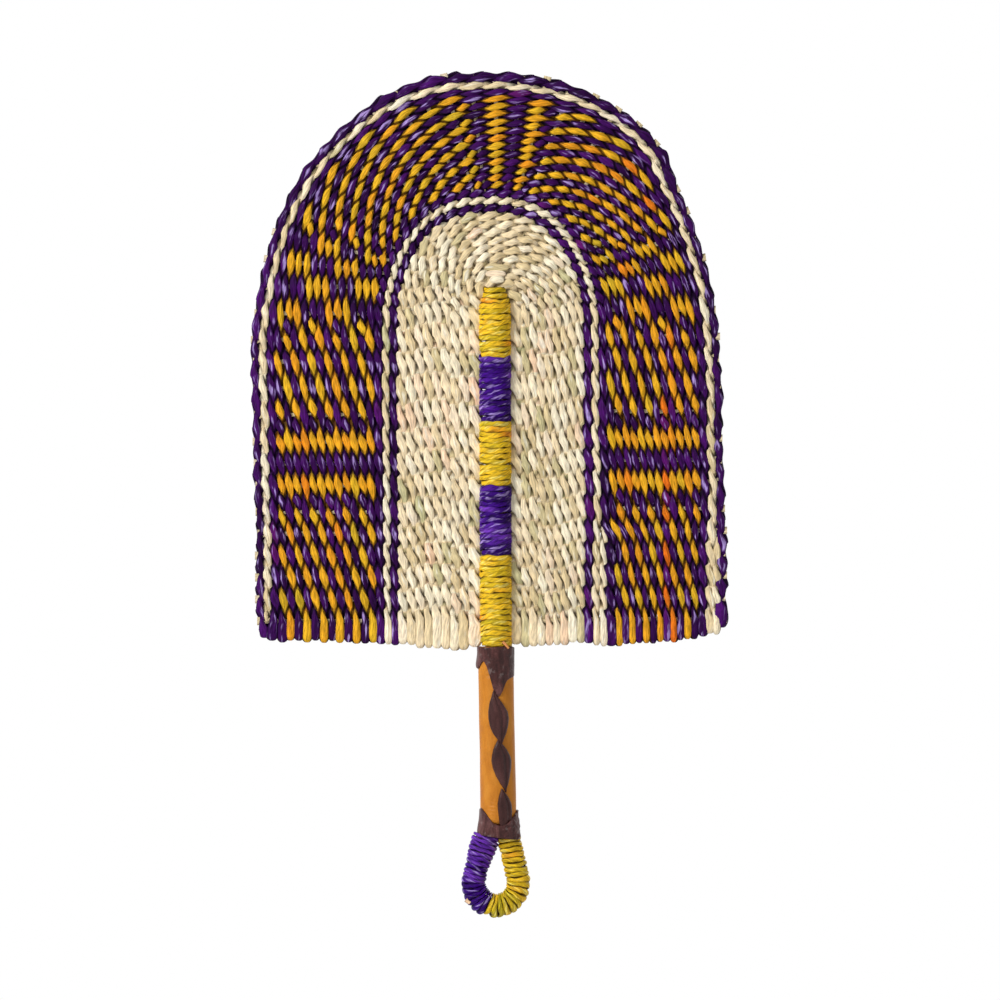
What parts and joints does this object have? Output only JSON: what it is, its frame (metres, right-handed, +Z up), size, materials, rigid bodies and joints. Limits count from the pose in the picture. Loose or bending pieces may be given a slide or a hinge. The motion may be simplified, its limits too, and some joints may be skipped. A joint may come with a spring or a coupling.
{
  "type": "woven hand fan",
  "caption": "Arch-shaped hand fan of twined straw rows on reed warps, with a cord-wrapped spine, a leather handle and a hanging loop.",
  "frame": {"origin": "middle of the handle's grip, on its axis", "axes": "+Z up the handle to the crown of the blade, +Y out of the back of the blade, so the front faces -Y"},
  "size_m": [0.2476, 0.0202, 0.4409],
  "materials": {
    "straw_natural": "undyed dried grass, softly glossy fibres",
    "straw_purple": "purple dyed dried grass, glossy fibres",
    "straw_yellow": "yellow dyed dried grass, glossy fibres",
    "straw_two_tone": "one purple and one yellow strand twined together",
    "reed": "pale dried reed",
    "stick_wood": "raw stick, hidden",
    "leather_tan": "smooth tan leather",
    "leather_dark": "smooth dark brown leather, slightly glossy"
  },
  "bodies": {
    "root": {"natural_row_1": "straw_natural", "natural_row_2": "straw_natural", "natural_row_3": "straw_natural", "natural_row_4": "straw_natural", "natural_row_5": "straw_natural", "natural_row_6": "straw_natural", "natural_row_7": "straw_natural", "natural_row_8": "straw_natural", "natural_row_9": "straw_natural", "border_row_2": "straw_natural", "edge_row_2": "straw_natural", "loop_core": "straw_natural", "border_row_1": "straw_purple", "border_row_3": "straw_purple", "edge_row_1": "straw_purple", "edge_row_3": "straw_purple", "spine_wrap_2": "straw_purple", "spine_wrap_4": "straw_purple", "loop_wrap_purple": "straw_purple", "spine_wrap_1": "straw_yellow", "spine_wrap_3": "straw_yellow", "spine_wrap_5": "straw_yellow", "loop_wrap_yellow": "straw_yellow", "field_row_1": "straw_two_tone", "field_row_2": "straw_two_tone", "field_row_3": "straw_two_tone", "field_row_4": "straw_two_tone", "field_row_5": "straw_two_tone", "field_row_6": "straw_two_tone", "field_row_7": "straw_two_tone", "field_row_8": "straw_two_tone", "field_row_9": "straw_two_tone", "field_row_10": "straw_two_tone", "field_row_11": "straw_two_tone", "field_row_12": "straw_two_tone", "cross_warp_01": "reed", "cross_warp_02": "reed", "cross_warp_03": "reed", "cross_warp_04": "reed", "cross_warp_05": "reed", "cross_warp_06": "reed", "cross_warp_07": "reed", "cross_warp_08": "reed", "cross_warp_09": "reed", "cross_warp_10": "reed", "cross_warp_11": "reed", "cross_warp_12": "reed", "cross_warp_13": "reed", "cross_warp_14": "reed", "crown_warps": "reed", "spine_stick_front": "stick_wood", "spine_stick_back": "stick_wood", "handle_sleeve": "leather_tan", "top_collar": "leather_dark", "lower_collar": "leather_dark", "lacing_strip": "leather_dark"}
  },
  "joints": []
}
